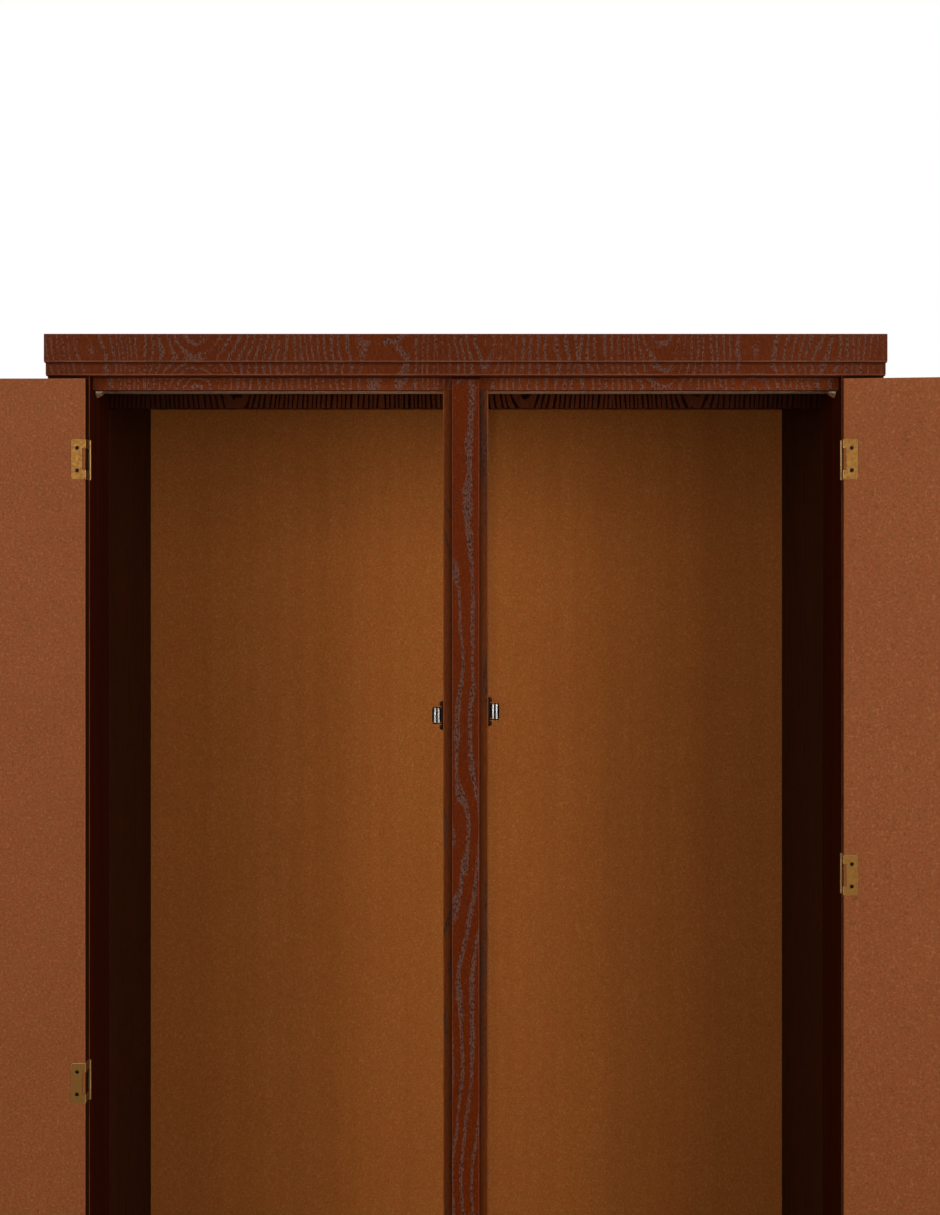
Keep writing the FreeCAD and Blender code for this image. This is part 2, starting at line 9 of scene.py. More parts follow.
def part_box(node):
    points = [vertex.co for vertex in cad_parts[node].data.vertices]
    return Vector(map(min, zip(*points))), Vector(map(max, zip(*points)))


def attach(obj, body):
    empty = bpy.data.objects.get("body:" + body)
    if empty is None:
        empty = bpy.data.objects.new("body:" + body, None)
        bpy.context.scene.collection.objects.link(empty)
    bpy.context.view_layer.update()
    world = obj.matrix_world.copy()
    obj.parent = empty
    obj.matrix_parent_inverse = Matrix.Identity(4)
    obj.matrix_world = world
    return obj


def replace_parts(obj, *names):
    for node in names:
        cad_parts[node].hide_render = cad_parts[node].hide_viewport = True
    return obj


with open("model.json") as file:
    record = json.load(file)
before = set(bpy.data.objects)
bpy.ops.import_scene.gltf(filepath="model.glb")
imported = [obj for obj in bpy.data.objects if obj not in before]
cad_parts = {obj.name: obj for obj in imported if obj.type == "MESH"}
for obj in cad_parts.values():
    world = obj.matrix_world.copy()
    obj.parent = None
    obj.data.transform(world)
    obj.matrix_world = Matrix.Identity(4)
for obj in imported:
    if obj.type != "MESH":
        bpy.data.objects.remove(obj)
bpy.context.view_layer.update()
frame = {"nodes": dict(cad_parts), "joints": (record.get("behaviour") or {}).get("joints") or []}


# The photographer's camera stands level, straight in front of the wardrobe and a little right of its
# middle, with the lens at the height of a standing person's eyes. The long lens keeps the posts upright.
camera_place = (0.0055, -3.075, 1.604)
camera_lens_mm = 65.1

camera_data = bpy.data.cameras.new("camera")
camera_data.lens = camera_lens_mm
camera = bpy.data.objects.new("camera", camera_data)
camera.location = camera_place
camera.rotation_euler = (math.radians(90), 0, 0)
bpy.context.scene.collection.objects.link(camera)
bpy.context.scene.camera = camera
bpy.context.scene.view_settings.view_transform = "Standard"


# The studio: a broad soft lamp on each side in front of the wardrobe, a small one beside the camera, one
# on each side behind for the back, and a plain pale floor under a white sky.
def node(tree, kind, links=(), **settings):
    """Add a shader node, set its properties, and link or set its inputs."""
    made = tree.nodes.new("ShaderNode" + kind)
    for name, value in settings.items():
        setattr(made, name, value)
    for socket, value in dict(links).items():
        if isinstance(value, bpy.types.NodeSocket):
            tree.links.new(value, made.inputs[socket])
        else:
            made.inputs[socket].default_value = value
    return made


def lamp(name, place, target, size, watts):
    """A soft lamp with a face of (width, height), turned to a target."""
    data = bpy.data.lights.new(name, "AREA")
    data.shape = "RECTANGLE"
    data.size, data.size_y = size
    data.energy = watts
    made = bpy.data.objects.new(name, data)
    made.location = place
    made.rotation_euler = (Vector(target) - Vector(place)).to_track_quat("-Z", "Y").to_euler()
    made.visible_camera = False
    bpy.context.scene.collection.objects.link(made)


lamp("left_lamp", (-1.45, -2.3, 2.1), (0.0, 0.2, 1.4), (1.4, 1.3), 24)
lamp("right_lamp", (1.45, -2.3, 2.0), (0.0, 0.2, 1.4), (1.4, 1.4), 32)
lamp("camera_lamp", (-0.06, -3.0, 1.60), (0.0, -0.2, 1.35), (0.06, 0.06), 7)
lamp("left_rear_lamp", (-2.3, 2.3, 1.8), (0.0, 0.2, 1.0), (1.2, 1.5), 45)
lamp("right_rear_lamp", (2.3, 2.3, 1.8), (0.0, 0.2, 1.0), (1.2, 1.5), 45)

sky_seen = 0.93
sky_mirrored = 0.38
sky_fill = 0.07
world = bpy.data.worlds.new("studio")
bpy.context.scene.world = world
world.use_nodes = True
sky = world.node_tree
sky.nodes.clear()
ray = node(sky, "LightPath")
in_gloss = node(sky, "Math", {0: ray.outputs["Is Glossy Ray"], 1: sky_mirrored, 2: sky_fill},
                operation="MULTIPLY_ADD")
strength = node(sky, "Math", {0: ray.outputs["Is Camera Ray"], 1: sky_seen, 2: in_gloss.outputs[0]},
                operation="MULTIPLY_ADD")
white = node(sky, "Background", {"Color": (1, 1, 1, 1), "Strength": strength.outputs[0]})
node(sky, "OutputWorld", {"Surface": white.outputs[0]})

floor_reach = 30.0
floor_white = (0.82, 0.82, 0.81, 1)
floor_glow = 0.55
shape = bmesh.new()
bmesh.ops.create_grid(shape, x_segments=1, y_segments=1, size=floor_reach)
floor_mesh = bpy.data.meshes.new("studio_floor")
shape.to_mesh(floor_mesh)
shape.free()
floor = bpy.data.objects.new("studio_floor", floor_mesh)
bpy.context.scene.collection.objects.link(floor)
floor_paint = bpy.data.materials.new("pale_floor")
floor_paint.use_nodes = True
floor_shader = floor_paint.node_tree.nodes["Principled BSDF"]
floor_shader.inputs["Base Color"].default_value = floor_white
floor_shader.inputs["Roughness"].default_value = 0.9
floor_shader.inputs["Specular IOR Level"].default_value = 0.1
floor_shader.inputs["Emission Color"].default_value = floor_white
looked_at = node(floor_paint.node_tree, "LightPath").outputs["Is Camera Ray"]
glow = node(floor_paint.node_tree, "Math", {0: looked_at, 1: floor_glow}, operation="MULTIPLY")
floor_paint.node_tree.links.new(glow.outputs[0], floor_shader.inputs["Emission Strength"])
floor_mesh.materials.append(floor_paint)


# The outer skins of the two hollow sides: board veneered in rotary-cut oak with the grain upright.
# The wood is stained red-brown, and a pale violet-grey paste fills the open pores of each growth ring.
# Along the arrises a thin salmon line shows, partly bare stain where the lacquer has worn through and partly
# a painted highlight.
def finish(node_name, material):
    """Give a carried-over part its material."""
    mesh = frame["nodes"][node_name].data
    mesh.materials.clear()
    mesh.materials.append(material)


def new_material(name):
    """A new material: its tree, its surface shader, and its object place and facing."""
    made = bpy.data.materials.new(name)
    made.use_nodes = True
    tree = made.node_tree
    surface = tree.nodes["Principled BSDF"]
    where = node(tree, "TexCoord")
    return made, tree, surface, where.outputs["Object"], where.outputs["Normal"]


def noise(tree, place, scale, detail, roughness=0.5):
    """A soft noise value at a place, from 0 to 1."""
    made = node(tree, "TexNoise", {"Vector": place, "Scale": scale, "Detail": detail,
                                   "Roughness": roughness})
    return made.outputs[0]


def maths(tree, operation, first, second=0.0, third=0.0):
    """One sum with up to three values."""
    return node(tree, "Math", {0: first, 1: second, 2: third}, operation=operation).outputs[0]


def ramp(tree, value, stops):
    """A value led through stops of (position, level)."""
    made = node(tree, "ValToRGB", {0: value})
    elements = made.color_ramp.elements
    while len(elements) < len(stops):
        elements.new(1.0)
    for element, (position, level) in zip(elements, stops):
        element.position = position
        element.color = (level, level, level, 1)
    return made.outputs[0]


def blended(tree, share, first, second):
    """A colour between two, by a share. Either may be a plain (red, green, blue)."""
    colours = [(*colour, 1) if isinstance(colour, tuple) else colour for colour in (first, second)]
    made = node(tree, "Mix", {0: share, 6: colours[0], 7: colours[1]}, data_type="RGBA")
    return made.outputs[2]


def picked(tree, share, first, second):
    """The first value where the share is 0, the second where it is 1."""
    return node(tree, "Mix", {0: share, 2: first, 3: second}, data_type="FLOAT").outputs[0]


def stretched(tree, place, sizes):
    """A place multiplied along each axis."""
    return node(tree, "VectorMath", {0: place, 1: sizes}, operation="MULTIPLY").outputs[0]


mostly = 0.8


def turned_to(tree, facing):
    """How far a facing is turned to each of the three axes, either way, from 0 to 1."""
    either_way = node(tree, "VectorMath", {0: facing}, operation="ABSOLUTE").outputs[0]
    return node(tree, "SeparateXYZ", {0: either_way}).outputs


def veneer_place(tree, place, facing, level_grain, start):
    """A place as (across the grain, along it, start): upright on walls, along an axis on level faces."""
    at = node(tree, "SeparateXYZ", {0: place}).outputs
    turn = turned_to(tree, facing)
    is_end = maths(tree, "GREATER_THAN", turn[0], mostly)
    is_level = maths(tree, "GREATER_THAN", turn[2], mostly)
    along_level, across_level = (at[0], at[1]) if level_grain == "X" else (at[1], at[0])
    across = picked(tree, is_level, picked(tree, is_end, at[0], at[1]), across_level)
    along = picked(tree, is_level, at[2], along_level)
    return node(tree, "CombineXYZ", {0: across, 1: along, 2: start}).outputs[0]


def worn_and_highlit_edges(tree, place, facing):
    """1 on the rounded arrises, where the facing leaves the three axes, and 0 on the flats: the arrises that
    are lightened for wear and for a painted highlight.
    """
    turn = turned_to(tree, facing)
    flattest = maths(tree, "MAXIMUM", maths(tree, "MAXIMUM", turn[0], turn[1]), turn[2])
    patches = ramp(tree, noise(tree, place, 30.0, 3.0, 0.6), [(0.30, 0.45), (0.60, 1.0)])
    return maths(tree, "MULTIPLY", ramp(tree, flattest, [(0.74, 1.0), (0.95, 0.0)]), patches)


def on_edge(tree, facing):
    """1 on the edges of a board that stands across the room, and 0 on its two broad faces."""
    return maths(tree, "LESS_THAN", turned_to(tree, facing)[1], 0.5)


near_black = (0.0070, 0.0026, 0.0010)
heart_in_leaf = 0.38
waver_size = 0.007
ring_unevenness = 2.4


def oak(name, wood, wood_dark, filler, pit, bare_and_highlit, start, level_grain="X", ring=0.0125, leaf=0.21,
        heart=0.03, slope=0.02, arch=0.0, lean=0.0, drift=0.08, wild=0.022, curl=5.5, share=0.5, fill=0.34,
        thin=0.25, wear_and_highlight=0.8, roughness=0.5, gloss=0.03, edge_stain_and_shade=0.0):
    """Rotary-cut oak veneer: each growth ring shows as a band of filled pores. Start slides the figure,
    and every leaf is a mirror of the one beside it."""
    made, tree, surface, place, facing = new_material(name)
    flat = veneer_place(tree, place, facing, level_grain, start)
    at = node(tree, "SeparateXYZ", {0: flat}).outputs
    sway = noise(tree, stretched(tree, flat, (4.0, 1.6, 1)), 1.0, 1.0)
    leaning = maths(tree, "MULTIPLY_ADD", at[1], lean, maths(tree, "ADD", at[0], 5.0 + start))
    shifted = maths(tree, "MULTIPLY_ADD", sway, drift, leaning)
    folded = maths(tree, "PINGPONG", shifted, leaf)
    from_heart = maths(tree, "SUBTRACT", folded, leaf * heart_in_leaf)
    rise = noise(tree, stretched(tree, flat, (7, 15, 1)), 1.0, 1.0)
    depth = maths(tree, "MULTIPLY_ADD", rise, arch, maths(tree, "MULTIPLY_ADD", at[1], slope, heart))
    radius = node(tree, "VectorMath", {0: node(tree, "CombineXYZ", {0: from_heart, 1: depth}).outputs[0]},
                  operation="LENGTH").outputs["Value"]
    swirl = noise(tree, stretched(tree, flat, (13, curl, 1)), 1.0, 1.0)
    waver = noise(tree, stretched(tree, flat, (70, 3 * curl, 1)), 1.0, 2.0, 0.6)
    rings = maths(tree, "MULTIPLY_ADD", swirl, wild, maths(tree, "MULTIPLY_ADD", waver, waver_size, radius))
    uneven = noise(tree, node(tree, "CombineXYZ", {0: rings, 1: start}).outputs[0], 26.0, 1.0)
    count = maths(tree, "MULTIPLY_ADD", uneven, ring_unevenness, maths(tree, "DIVIDE", rings, ring))
    band = ramp(tree, maths(tree, "FRACT", count), [(0.0, 0.0), (0.09, 1.0), (0.3, 0.9), (share, 0.0)])
    patchy = ramp(tree, noise(tree, stretched(tree, flat, (24, 9, 1)), 1.0, 2.0),
                  [(0.34, thin), (0.54, 1.0)])
    streak = maths(tree, "MULTIPLY", band, patchy)
    speckle = noise(tree, stretched(tree, flat, (500, 290, 1)), 1.0, 1.5, 0.6)
    grain = noise(tree, stretched(tree, flat, (620, 90, 1)), 1.0, 1.5, 0.6)
    pores = noise(tree, stretched(tree, flat, (1300, 110, 1)), 1.0, 1.0, 0.6)
    filled = ramp(tree, maths(tree, "MULTIPLY_ADD", streak, fill, speckle), [(0.60, 0.0), (0.84, 1.0)])
    pale = ramp(tree, speckle, [(0.50, 0.0), (0.66, 1.0)])
    filling = blended(tree, pale, filler, tuple(1.35 * level for level in filler))
    cloud = noise(tree, stretched(tree, flat, (11, 3, 1)), 1.0, 2.0)
    shade = maths(tree, "ADD", maths(tree, "MULTIPLY", grain, 0.65), maths(tree, "MULTIPLY", cloud, 0.35))
    ground = blended(tree, ramp(tree, shade, [(0.38, 0.0), (0.62, 1.0)]), wood_dark, wood)
    open_pore = ramp(tree, pores, [(0.58, 0.0), (0.70, 1.0)])
    dark_fleck = ramp(tree, maths(tree, "MULTIPLY_ADD", streak, -0.08, speckle), [(0.30, 1.0), (0.40, 0.0)])
    pitted = maths(tree, "MULTIPLY", maths(tree, "MAXIMUM", open_pore, dark_fleck),
                   maths(tree, "MULTIPLY_ADD", streak, 0.55, 0.35))
    colour = blended(tree, pitted, blended(tree, filled, ground, filling), pit)
    # Board edges darkened toward near black, partly a dark stain and partly painted shade.
    colour = blended(tree, maths(tree, "MULTIPLY", on_edge(tree, facing), edge_stain_and_shade), colour, near_black)
    # Lightened arrises: partly bare stain where the lacquer has worn, partly a painted highlight.
    worn_and_highlit = maths(tree, "MULTIPLY", worn_and_highlit_edges(tree, place, facing), wear_and_highlight)
    tree.links.new(blended(tree, worn_and_highlit, colour, bare_and_highlit), surface.inputs["Base Color"])
    relief = maths(tree, "ADD", maths(tree, "MULTIPLY", pitted, -1.0), maths(tree, "MULTIPLY", grain, 0.4))
    bump = node(tree, "Bump", {"Strength": 0.25, "Distance": 0.0004, "Height": relief})
    tree.links.new(bump.outputs[0], surface.inputs["Normal"])
    tree.links.new(maths(tree, "MULTIPLY_ADD", filled, 0.16, roughness), surface.inputs["Roughness"])
    surface.inputs["Specular IOR Level"].default_value = gloss
    return made


red_wood = (0.122, 0.0220, 0.0035)
red_wood_dark = (0.085, 0.0140, 0.0018)
violet_filler = (0.110, 0.0440, 0.0280)
dark_pit = (0.038, 0.0085, 0.0040)
bare_stain_and_highlight = (0.300, 0.0900, 0.0450)
filled_oak = oak("filled_oak", red_wood, red_wood_dark, violet_filler, dark_pit, bare_stain_and_highlight, 0.043)
for side in ("left", "right"):
    finish(f"{side}_outer_side", filled_oak)


# The inner skins of the sides: oak-veneered board stained nearly black, the grain open and upright.
# They stand behind the front posts, rebated on the inside to take the edges of the back.
black_filler = (0.0400, 0.0130, 0.0060)
black_pit = (0.004, 0.001, 0.0004)
black_bare_and_highlight = (0.0700, 0.0250, 0.0120)
dark_oak = oak("dark_oak", (0.0370, 0.0072, 0.0018), (0.0190, 0.0036, 0.0009), black_filler, black_pit,
               black_bare_and_highlight, 0.31, ring=0.009, wear_and_highlight=0.5, roughness=0.45)
for side in ("left", "right"):
    finish(f"{side}_inner_side", dark_oak)


# The two front posts: solid timber, L-shaped in plan, planed smooth and stained a reddish near-black.
# They carry the hinges, and the rod's sockets are screwed to their inner faces.
def stained_timber(name, wood, wood_dark, bare_and_highlit, start, roughness, wear_and_highlight=0.6, gloss=0.08):
    """Close-grained timber, planed smooth and stained: faint upright streaks, and arrises lightened for wear
    and for a painted highlight.
    """
    made, tree, surface, place, facing = new_material(name)
    flat = veneer_place(tree, place, facing, "X", start)
    streaks = noise(tree, stretched(tree, flat, (90, 2.5, 1)), 1.0, 3.0, 0.6)
    fibre = noise(tree, stretched(tree, flat, (700, 30, 1)), 1.0, 2.0, 0.6)
    shade = maths(tree, "ADD", maths(tree, "MULTIPLY", streaks, 0.6), maths(tree, "MULTIPLY", fibre, 0.4))
    colour = blended(tree, ramp(tree, shade, [(0.35, 0.0), (0.65, 1.0)]), wood_dark, wood)
    # Lightened arrises: partly rubbed wood, partly a painted highlight.
    worn_and_highlit = maths(tree, "MULTIPLY", worn_and_highlit_edges(tree, place, facing), wear_and_highlight)
    tree.links.new(blended(tree, worn_and_highlit, colour, bare_and_highlit), surface.inputs["Base Color"])
    bump = node(tree, "Bump", {"Strength": 0.15, "Distance": 0.0002, "Height": fibre})
    tree.links.new(bump.outputs[0], surface.inputs["Normal"])
    tree.links.new(maths(tree, "MULTIPLY_ADD", streaks, 0.15, roughness), surface.inputs["Roughness"])
    surface.inputs["Specular IOR Level"].default_value = gloss
    return made


dark_post = stained_timber("dark_post", (0.0560, 0.0098, 0.0022), (0.0360, 0.0058, 0.0013),
                           (0.3500, 0.1100, 0.0500), 0.7, 0.6, gloss=0.0)
for side in ("left", "right"):
    finish(f"{side}_front_post", dark_post)


# The hidden frame: softwood posts between the skins, battens in the double top, and the back board
# and bearer of the plinth. None of it is stained.
raw_timber = stained_timber("raw_timber", (0.52, 0.33, 0.17), (0.36, 0.20, 0.09), (0.58, 0.40, 0.23),
                            1.9, 0.7)
for name in ("left_rear_post", "right_rear_post", "front_top_batten", "rear_top_batten",
             "centre_top_batten", "plinth_back", "plinth_bearer"):
    finish(name, raw_timber)


# The floor board and the ceiling panel: board in the same dark veneer as the inner skins, with its grain
# from front to back, and a little lighter.
level_oak = oak("level_oak", (0.0640, 0.0150, 0.0034), (0.0400, 0.0090, 0.0020), black_filler, black_pit,
                black_bare_and_highlight, 0.11, level_grain="Y", ring=0.0115, wear_and_highlight=0.5, roughness=0.45)
for name in ("floor_board", "ceiling_panel"):
    finish(name, level_oak)


# The header under the ceiling: a low board that stands on edge across the carcass, close behind the front
# posts, with its ends against the inner skins and its top against the ceiling panel. It is veneered upright
# in dark oak, leaf beside leaf, with painted shade darkening it toward both ends, and its lower arris is
# rounded.
def own_axis(tree, index):
    """A point's place along one axis of its own object."""
    return node(tree, "SeparateXYZ", {0: node(tree, "TexCoord").outputs["Object"]}).outputs[index]


def lay_painted_shade(made, share, colour):
    """Lay painted shade over a material's colour, by a share."""
    tree = made.node_tree
    skin = tree.nodes["Principled BSDF"].inputs["Base Color"]
    tree.links.new(blended(tree, share, skin.links[0].from_socket, colour), skin)


def new_piece(name, shape, material, body, smooth_degrees=35):
    """A finished piece from a mesh: smooth but for its sharp edges, dressed, and riding on a body."""
    mesh = bpy.data.meshes.new(name)
    shape.to_mesh(mesh)
    shape.free()
    mesh.shade_smooth()
    mesh.set_sharp_from_angle(angle=math.radians(smooth_degrees))
    mesh.materials.append(material)
    made = bpy.data.objects.new(name, mesh)
    bpy.context.scene.collection.objects.link(made)
    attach(made, body)
    return made


header_thickness = 0.018
header_drop = 0.0345
header_arris = 0.0008
leaf_taper = 0.27
shade_start_x = 0.12
post_rear_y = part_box("left_front_post")[1][1]
ceiling_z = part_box("ceiling_panel")[0][2]
header_middle_z = ceiling_z - header_drop / 2
inner_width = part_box("right_inner_side")[0][0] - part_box("left_inner_side")[1][0]
shape = bmesh.new()
bmesh.ops.create_cube(shape, size=1.0)
bmesh.ops.scale(shape, verts=shape.verts[:], vec=(inner_width, header_thickness, header_drop))
bmesh.ops.translate(shape, verts=shape.verts[:],
                    vec=(0, post_rear_y + header_thickness / 2, header_middle_z))
lower_arrises = [edge for edge in shape.edges
                 if edge.calc_length() > inner_width / 2 and edge.verts[0].co.z < header_middle_z]
bmesh.ops.bevel(shape, geom=lower_arrises, offset=header_arris, offset_type="OFFSET", segments=2,
                profile=0.5, affect="EDGES", material=-1)
header_oak = oak("header_oak", (0.1040, 0.0205, 0.0038), (0.0740, 0.0135, 0.0021), (0.0110, 0.0007, 0.0001),
                 (0.004, 0.0007, 0.0002), black_bare_and_highlight, 0.37, ring=0.0064, leaf=0.31,
                 heart=leaf_taper * (ceiling_z + 1.2 * header_drop), slope=-leaf_taper, arch=0.004,
                 drift=0.03, wild=0.008, curl=3, share=0.44, fill=0.68, thin=0.8)
tree = header_oak.node_tree
# Painted shade: the header's colour darkens toward both ends.
from_middle = maths(tree, "ABSOLUTE", own_axis(tree, 0))
end_shade = node(tree, "MapRange", {0: from_middle, 1: shade_start_x, 2: inner_width / 2, 3: 0.0, 4: 0.75})
lay_painted_shade(header_oak, end_shade.outputs[0], (0.010, 0.0012, 0.0002))
new_piece("ceiling_header", shape, header_oak, "carcass", smooth_degrees=25)


# The boards that show from the front: plinth, bottom and top rail, the two moulded cornice boards
# and the top board. All are veneered upright, leaf beside leaf, so that the figure runs on from
# board to board. The rails, behind the doors, are a little lighter.
front_figure = dict(ring=0.0082, leaf=0.18, heart=0.0, slope=0.0, arch=0.055, wild=0.030, curl=6, thin=0.40,
                    fill=0.42)
front_oak = oak("front_oak", red_wood, red_wood_dark, violet_filler, dark_pit, bare_stain_and_highlight, 0.043,
                **front_figure)
for name in ("plinth_front", "cornice_lower_board", "cornice_upper_board", "top_board"):
    finish(name, front_oak)
rail_oak = oak("rail_oak", (0.165, 0.0290, 0.0045), (0.120, 0.0195, 0.0026), (0.150, 0.0590, 0.0370),
               dark_pit, bare_stain_and_highlight, 0.043, wear_and_highlight=0.15, **front_figure)
for name in ("bottom_rail", "top_rail"):
    finish(name, rail_oak)


# The centre post and the strip planted on its front, both solid oak. The strip fills the gap between
# the closed doors, and has a few long streaks of filler. Painted shade darkens the post in the corners
# beside the strip, and a painted shadow darkens the strip's top end, under the cornice.
strip_oak = oak("strip_oak", (0.125, 0.0165, 0.0006), (0.096, 0.0125, 0.0005), violet_filler, dark_pit,
                bare_stain_and_highlight, 0.187, ring=0.0115, lean=-0.05, wild=0.026, share=0.42, fill=0.42, thin=0.8)
post_oak = oak("post_oak", (0.185, 0.0400, 0.0060), (0.135, 0.0270, 0.0040), (0.085, 0.0310, 0.0150),
               (0.050, 0.0140, 0.0055), (0.42, 0.13, 0.055), 0.55, ring=0.014, wild=0.030, share=0.4)
strip_edge_x = 0.0175
corner_shade_width = 0.006
top_shadow_height = 0.012
# Painted shade: the post darkens where it meets the strip.
tree = post_oak.node_tree
from_middle = maths(tree, "ABSOLUTE", own_axis(tree, 0))
corner_shade = node(tree, "MapRange",
                 {0: from_middle, 1: strip_edge_x, 2: strip_edge_x + corner_shade_width, 3: 0.75, 4: 0.0})
lay_painted_shade(post_oak, corner_shade.outputs[0], (0.030, 0.0060, 0.0012))
# Painted shadow: the strip darkens toward its top end, under the cornice.
strip_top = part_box("post_strip")[1][2]
tree = strip_oak.node_tree
near_top = node(tree, "MapRange", {0: own_axis(tree, 2), 1: strip_top - top_shadow_height, 2: strip_top})
top_shadow = ramp(tree, near_top.outputs[0], [(0.0, 0.0), (0.62, 0.35), (0.78, 1.0)])
lay_painted_shade(strip_oak, top_shadow, (0.022, 0.0010, 0.0004))
finish("post_strip", strip_oak)
finish("centre_post", post_oak)


# The back: one sheet of brown hardboard in a rebate of the sides, smooth side in, held by small
# flat-headed pins along its edges. Pressed fibres show as fine flecks, and the rollers of the press
# have left faint upright bands.
def hardboard(name, sheet, fleck, speck, start, bands=0.0, gloss=0.10, edge_stain_and_shade=0.0):
    """Smooth brown hardboard: pressed fibres, pale and dark flecks, faint clouds and bands."""
    made, tree, surface, place, facing = new_material(name)
    here = node(tree, "VectorMath", {0: place, 1: (start, start, start)}, operation="ADD").outputs[0]
    fine = noise(tree, here, 430.0, 2.0, 0.65)
    pale = ramp(tree, noise(tree, here, 300.0, 2.0, 0.55), [(0.55, 0.0), (0.68, 1.0)])
    dark = ramp(tree, noise(tree, stretched(tree, here, (1, 1, 0.8)), 340.0, 2.0, 0.5),
                [(0.58, 0.0), (0.72, 1.0)])
    yellower = ramp(tree, noise(tree, here, 85.0, 3.0, 0.7), [(0.40, 0.0), (0.60, 1.0)])
    cloud = ramp(tree, noise(tree, here, 9.0, 3.0, 0.6), [(0.3, 1.0), (0.7, 0.0)])
    upright = ramp(tree, noise(tree, stretched(tree, here, (34, 34, 0.7)), 1.0, 2.0, 0.6),
                   [(0.35, 1.0), (0.65, 0.0)])
    tints = [tuple(level * share for level, share in zip(sheet, tint_shares))
             for tint_shares in ((1.03, 0.93, 1.00), (0.95, 1.06, 0.90))]
    tint = blended(tree, yellower, *tints)
    low = tuple(0.50 * level for level in sheet)
    high = tuple(1.60 * level for level in sheet)
    fibre = blended(tree, ramp(tree, fine, [(0.25, 0.0), (0.75, 1.0)]), low, high)
    body = blended(tree, 0.45, tint, fibre)
    body = blended(tree, maths(tree, "MULTIPLY", pale, 0.45), body, fleck)
    body = blended(tree, maths(tree, "MULTIPLY", dark, 0.50), body, speck)
    body = blended(tree, maths(tree, "MULTIPLY", cloud, 0.12), body, speck)
    body = blended(tree, maths(tree, "MULTIPLY", upright, bands), body, speck)
    # Lightened arrises: partly rubbed fibre, partly a painted highlight.
    worn_and_highlit = maths(tree, "MULTIPLY", worn_and_highlit_edges(tree, place, facing), 0.7)
    body = blended(tree, worn_and_highlit, body, fleck)
    # Board edges darkened toward near black, partly a dark stain and partly painted shade.
    body = blended(tree, maths(tree, "MULTIPLY", on_edge(tree, facing), edge_stain_and_shade), body, near_black)
    tree.links.new(body, surface.inputs["Base Color"])
    bump = node(tree, "Bump", {"Strength": 0.12, "Distance": 0.0003, "Height": fine})
    tree.links.new(bump.outputs[0], surface.inputs["Normal"])
    surface.inputs["Roughness"].default_value = 0.6
    surface.inputs["Specular IOR Level"].default_value = gloss
    return made


back_sheet = hardboard("back_hardboard", (0.372, 0.1100, 0.0215), (0.52, 0.200, 0.065),
                       (0.225, 0.0560, 0.0060), 4.0, bands=0.14, gloss=0.02)
finish("back_panel", back_sheet)


# The clothes rod and its sockets: a thin brass tube just behind the top rail, dulled with age, whose
# ends stand in turned brass cones screwed to the front posts.
def metal(name, colour, stain, rubbed_and_highlit, roughness, grain=160.0):
    """Handled metal: patches of tarnish, duller where it is stained, and bright on its edges, partly rubbed
    and partly a painted highlight.
    """
    made, tree, surface, place, facing = new_material(name)
    patches = ramp(tree, noise(tree, place, grain, 4.0, 0.65), [(0.38, 0.0), (0.66, 1.0)])
    scratches = noise(tree, stretched(tree, place, (900, 900, 3000)), 1.0, 2.0, 0.6)
    body = blended(tree, patches, colour, stain)
    # Bright edges: partly rubbed metal, partly a painted highlight.
    worn_and_highlit = worn_and_highlit_edges(tree, place, facing)
    tree.links.new(blended(tree, worn_and_highlit, body, rubbed_and_highlit), surface.inputs["Base Color"])
    dull = maths(tree, "MULTIPLY_ADD", patches, 0.2, roughness)
    tree.links.new(maths(tree, "MULTIPLY_ADD", worn_and_highlit, -0.1, dull), surface.inputs["Roughness"])
    bump = node(tree, "Bump", {"Strength": 0.10, "Distance": 0.0001, "Height": scratches})
    tree.links.new(bump.outputs[0], surface.inputs["Normal"])
    surface.inputs["Metallic"].default_value = 1.0
    return made


rod_brass = metal("rod_brass", (0.74, 0.61, 0.43), (0.62, 0.50, 0.33), (0.85, 0.74, 0.56), 0.36)
for name in ("clothes_rod", "left_rod_socket", "right_rod_socket"):
    finish(name, rod_brass)


# The hinges: pressed brass, three on the left door and four on the right. One leaf lies on the
# post's face, the other wraps the door's edge, and a steel pin runs through the rolled barrel.
hinge_brass = metal("hinge_brass", (0.262, 0.120, 0.027), (0.222, 0.102, 0.025), (0.80, 0.52, 0.24), 0.44,
                    grain=260.0)
pin_steel = metal("pin_steel", (0.30, 0.26, 0.20), (0.16, 0.12, 0.09), (0.45, 0.40, 0.33), 0.35)
for side in ("left", "right"):
    finish(f"{side}_hinge_frame_leaves", hinge_brass)
    finish(f"{side}_hinge_door_leaves", hinge_brass)
    finish(f"{side}_hinge_pins", pin_steel)


# The catches: a pressed cage of bronzed steel on each side of the post, at two heights, and in each
# a pair of plated rollers on springs, which grip the strike on the door.
catch_bronze = metal("catch_bronze", (0.022, 0.008, 0.004), (0.012, 0.005, 0.003), (0.07, 0.03, 0.018),
                     0.45)
roller_chrome = metal("roller_chrome", (0.52, 0.51, 0.49), (0.42, 0.41, 0.38), (0.56, 0.55, 0.53), 0.10,
                      grain=90.0)
for side in ("left", "right"):
    for level in ("lower", "upper"):
        finish(f"{side}_{level}_catch", catch_bronze)
        for place in ("near", "far"):
            finish(f"{side}_{level}_{place}_roller", roller_chrome)


